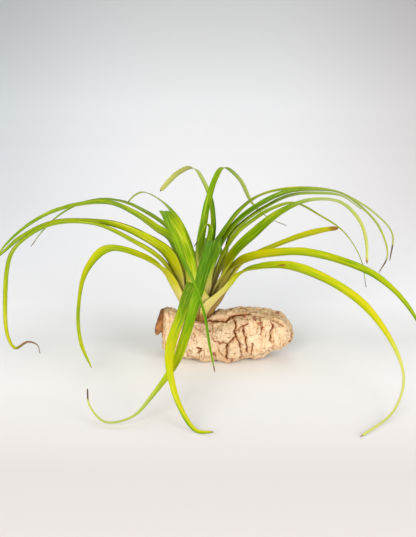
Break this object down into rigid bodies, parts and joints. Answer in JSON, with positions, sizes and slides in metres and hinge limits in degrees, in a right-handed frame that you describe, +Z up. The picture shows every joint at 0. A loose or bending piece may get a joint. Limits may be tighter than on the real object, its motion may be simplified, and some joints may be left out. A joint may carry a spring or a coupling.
{
  "type": "air plant on cork bark",
  "caption": "Air plant with long arching channelled strap leaves in a funnel-shaped rosette, seated in a hollow on top of a lying piece of cracked cork bark.",
  "frame": {"origin": "middle of the flat spot that the bark rests on", "axes": "+Z up, +X along the bark towards its long free end, -Y the front with the long drooping leaves"},
  "size_m": [0.4204, 0.3478, 0.1762],
  "materials": {
    "leaf_green": "satin green leaf blade, cream to tan at the sheath",
    "leaf_yellowing": "satin yellowing leaf blade",
    "stem": "matt fibrous stem",
    "cork_bark": "matt cracked cork bark"
  },
  "bodies": {
    "root": {"cork_bark": "cork_bark", "stem": "stem", "leaf_right_low": "leaf_green", "leaf_left_low": "leaf_green", "leaf_back_low": "leaf_green", "leaf_right_yellow": "leaf_yellowing", "leaf_left_long": "leaf_green", "leaf_front_low": "leaf_green", "leaf_right_long": "leaf_green", "leaf_left_wide": "leaf_green", "leaf_back_middle": "leaf_green", "leaf_right_tall": "leaf_green", "leaf_left_high": "leaf_green", "leaf_front_fold": "leaf_green", "leaf_right_spread": "leaf_green", "leaf_left_arch": "leaf_green", "leaf_front_long": "leaf_green", "leaf_right_short": "leaf_green", "leaf_back_left_short": "leaf_green", "leaf_right_arch": "leaf_green", "leaf_back_left_tall": "leaf_green", "leaf_right_high": "leaf_green", "leaf_back_right_tall": "leaf_green", "leaf_inner_young": "leaf_green"}
  },
  "joints": []
}
